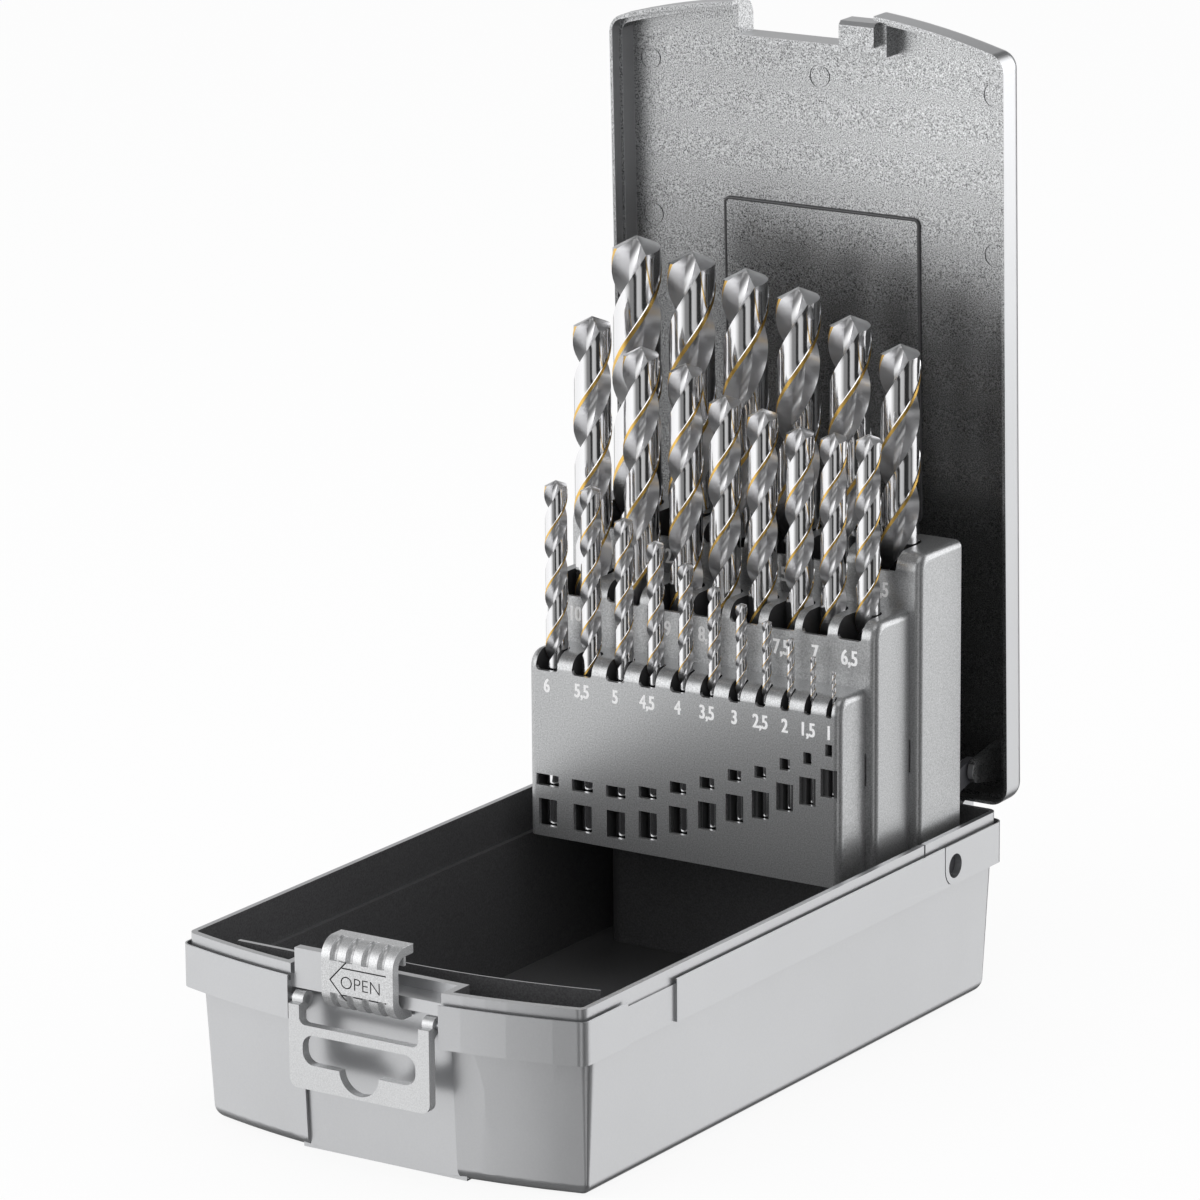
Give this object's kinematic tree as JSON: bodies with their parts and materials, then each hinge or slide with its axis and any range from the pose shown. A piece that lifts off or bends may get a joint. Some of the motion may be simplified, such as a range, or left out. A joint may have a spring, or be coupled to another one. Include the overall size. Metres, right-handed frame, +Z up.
{
  "type": "drill bit case",
  "caption": "Hinged plastic case for twist drills; opening the lid raises a three-step drill holder out of the tray, with a sliding latch and a fold-out hanger.",
  "frame": {"origin": "middle of the tray's underside, halfway between the front corners and the rear face of the skirt", "axes": "+Z up, -Y towards the latch at the front, +X to the right seen from the front"},
  "size_m": [0.118, 0.218, 0.2536],
  "materials": {
    "tray_plastic": "fine textured grey moulding",
    "lid_plastic": "fine textured grey moulding",
    "latch_plastic": "coarse textured light grey moulding",
    "hanger_plastic": "coarse textured light grey moulding",
    "holder_plastic": "textured grey moulding with printed sizes",
    "link_plastic": "smooth dark moulding",
    "pin_steel": "drawn wire",
    "drill_steel": "ground bright steel with straw-coloured margins"
  },
  "bodies": {
    "base": {"base_shell": "tray_plastic", "lid_hinge_pin_left": "pin_steel", "lid_hinge_pin_right": "pin_steel", "hanger_pin_left": "pin_steel", "hanger_pin_right": "pin_steel"},
    "lid": {"lid_shell": "lid_plastic", "link_upper_pin_left": "pin_steel", "link_upper_pin_right": "pin_steel"},
    "holder": {"front_row_block": "holder_plastic", "middle_row_block": "holder_plastic", "rear_row_block": "holder_plastic", "holder_pivot_pin_left": "link_plastic", "holder_pivot_pin_right": "link_plastic", "link_lower_pin_left": "pin_steel", "link_lower_pin_right": "pin_steel"},
    "link_left": {"lift_link_left": "link_plastic"},
    "link_right": {"lift_link_right": "link_plastic"},
    "slider": {"latch_slider": "latch_plastic"},
    "hanger": {"hanger": "hanger_plastic"},
    "drill_6_0": {"drill_6_0": "drill_steel"},
    "drill_5_5": {"drill_5_5": "drill_steel"},
    "drill_5_0": {"drill_5_0": "drill_steel"},
    "drill_4_5": {"drill_4_5": "drill_steel"},
    "drill_4_0": {"drill_4_0": "drill_steel"},
    "drill_3_5": {"drill_3_5": "drill_steel"},
    "drill_3_0": {"drill_3_0": "drill_steel"},
    "drill_2_5": {"drill_2_5": "drill_steel"},
    "drill_2_0": {"drill_2_0": "drill_steel"},
    "drill_1_5": {"drill_1_5": "drill_steel"},
    "drill_1_0": {"drill_1_0": "drill_steel"},
    "drill_10_0": {"drill_10_0": "drill_steel"},
    "drill_9_5": {"drill_9_5": "drill_steel"},
    "drill_9_0": {"drill_9_0": "drill_steel"},
    "drill_8_5": {"drill_8_5": "drill_steel"},
    "drill_8_0": {"drill_8_0": "drill_steel"},
    "drill_7_5": {"drill_7_5": "drill_steel"},
    "drill_7_0": {"drill_7_0": "drill_steel"},
    "drill_6_5": {"drill_6_5": "drill_steel"},
    "drill_13_0": {"drill_13_0": "drill_steel"},
    "drill_12_5": {"drill_12_5": "drill_steel"},
    "drill_12_0": {"drill_12_0": "drill_steel"},
    "drill_11_5": {"drill_11_5": "drill_steel"},
    "drill_11_0": {"drill_11_0": "drill_steel"},
    "drill_10_5": {"drill_10_5": "drill_steel"}
  },
  "joints": [
    {"name": "lid_hinge", "type": "hinge", "parent": "base", "child": "lid", "pos_m": [0, 0.1005, 0.047], "axis": [-1, 0, 0], "range_deg": [-88.5, 0]},
    {"name": "holder_fold", "type": "hinge", "parent": "base", "child": "holder", "pos_m": [0, 0.0736, 0.0402], "axis": [-1, 0, 0], "range_deg": [-90.02, 0.02]},
    {"name": "link_left_swing", "type": "hinge", "parent": "holder", "child": "link_left", "pos_m": [-0.0496, 0.0696, 0.0522], "axis": [-1, 0, 0], "range_deg": [-0.02, 90.02]},
    {"name": "link_right_swing", "type": "hinge", "parent": "holder", "child": "link_right", "pos_m": [0.0496, 0.0696, 0.0522], "axis": [-1, 0, 0], "range_deg": [-0.02, 90.02]},
    {"name": "latch_slide", "type": "slide", "parent": "base", "child": "slider", "axis": [-1, 0, 0], "range_m": [-0.0062, 0.0062]},
    {"name": "hanger_fold", "type": "hinge", "parent": "base", "child": "hanger", "pos_m": [0, -0.104, 0.0405], "axis": [-1, 0, 0], "range_deg": [0, 90]},
    {"name": "drill_6_0_slide", "type": "slide", "parent": "holder", "child": "drill_6_0", "axis": [0, 0, 1], "range_m": [0, 0.0484]},
    {"name": "drill_5_5_slide", "type": "slide", "parent": "holder", "child": "drill_5_5", "axis": [0, 0, 1], "range_m": [0, 0.0484]},
    {"name": "drill_5_0_slide", "type": "slide", "parent": "holder", "child": "drill_5_0", "axis": [0, 0, 1], "range_m": [0, 0.0484]},
    {"name": "drill_4_5_slide", "type": "slide", "parent": "holder", "child": "drill_4_5", "axis": [0, 0, 1], "range_m": [0, 0.0471]},
    {"name": "drill_4_0_slide", "type": "slide", "parent": "holder", "child": "drill_4_0", "axis": [0, 0, 1], "range_m": [0, 0.0443]},
    {"name": "drill_3_5_slide", "type": "slide", "parent": "holder", "child": "drill_3_5", "axis": [0, 0, 1], "range_m": [0, 0.0417]},
    {"name": "drill_3_0_slide", "type": "slide", "parent": "holder", "child": "drill_3_0", "axis": [0, 0, 1], "range_m": [0, 0.0384]},
    {"name": "drill_2_5_slide", "type": "slide", "parent": "holder", "child": "drill_2_5", "axis": [0, 0, 1], "range_m": [0, 0.0363]},
    {"name": "drill_2_0_slide", "type": "slide", "parent": "holder", "child": "drill_2_0", "axis": [0, 0, 1], "range_m": [0, 0.0331]},
    {"name": "drill_1_5_slide", "type": "slide", "parent": "holder", "child": "drill_1_5", "axis": [0, 0, 1], "range_m": [0, 0.0305]},
    {"name": "drill_1_0_slide", "type": "slide", "parent": "holder", "child": "drill_1_0", "axis": [0, 0, 1], "range_m": [0, 0.0275]},
    {"name": "drill_10_0_slide", "type": "slide", "parent": "holder", "child": "drill_10_0", "axis": [0, 0, 1], "range_m": [0, 0.0656]},
    {"name": "drill_9_5_slide", "type": "slide", "parent": "holder", "child": "drill_9_5", "axis": [0, 0, 1], "range_m": [0, 0.0638]},
    {"name": "drill_9_0_slide", "type": "slide", "parent": "holder", "child": "drill_9_0", "axis": [0, 0, 1], "range_m": [0, 0.0656]},
    {"name": "drill_8_5_slide", "type": "slide", "parent": "holder", "child": "drill_8_5", "axis": [0, 0, 1], "range_m": [0, 0.0654]},
    {"name": "drill_8_0_slide", "type": "slide", "parent": "holder", "child": "drill_8_0", "axis": [0, 0, 1], "range_m": [0, 0.0656]},
    {"name": "drill_7_5_slide", "type": "slide", "parent": "holder", "child": "drill_7_5", "axis": [0, 0, 1], "range_m": [0, 0.0629]},
    {"name": "drill_7_0_slide", "type": "slide", "parent": "holder", "child": "drill_7_0", "axis": [0, 0, 1], "range_m": [0, 0.0632]},
    {"name": "drill_6_5_slide", "type": "slide", "parent": "holder", "child": "drill_6_5", "axis": [0, 0, 1], "range_m": [0, 0.0544]},
    {"name": "drill_13_0_slide", "type": "slide", "parent": "holder", "child": "drill_13_0", "axis": [0, 0, 1], "range_m": [0, 0.0801]},
    {"name": "drill_12_5_slide", "type": "slide", "parent": "holder", "child": "drill_12_5", "axis": [0, 0, 1], "range_m": [0, 0.0801]},
    {"name": "drill_12_0_slide", "type": "slide", "parent": "holder", "child": "drill_12_0", "axis": [0, 0, 1], "range_m": [0, 0.0801]},
    {"name": "drill_11_5_slide", "type": "slide", "parent": "holder", "child": "drill_11_5", "axis": [0, 0, 1], "range_m": [0, 0.0792]},
    {"name": "drill_11_0_slide", "type": "slide", "parent": "holder", "child": "drill_11_0", "axis": [0, 0, 1], "range_m": [0, 0.0801]},
    {"name": "drill_10_5_slide", "type": "slide", "parent": "holder", "child": "drill_10_5", "axis": [0, 0, 1], "range_m": [0, 0.0801]}
  ],
  "couplings": [
    {"joint": "holder_fold", "follows": "lid_hinge", "ratio": 1.0169},
    {"joint": "link_left_swing", "follows": "lid_hinge", "ratio": -1.0169},
    {"joint": "link_right_swing", "follows": "lid_hinge", "ratio": -1.0169}
  ]
}
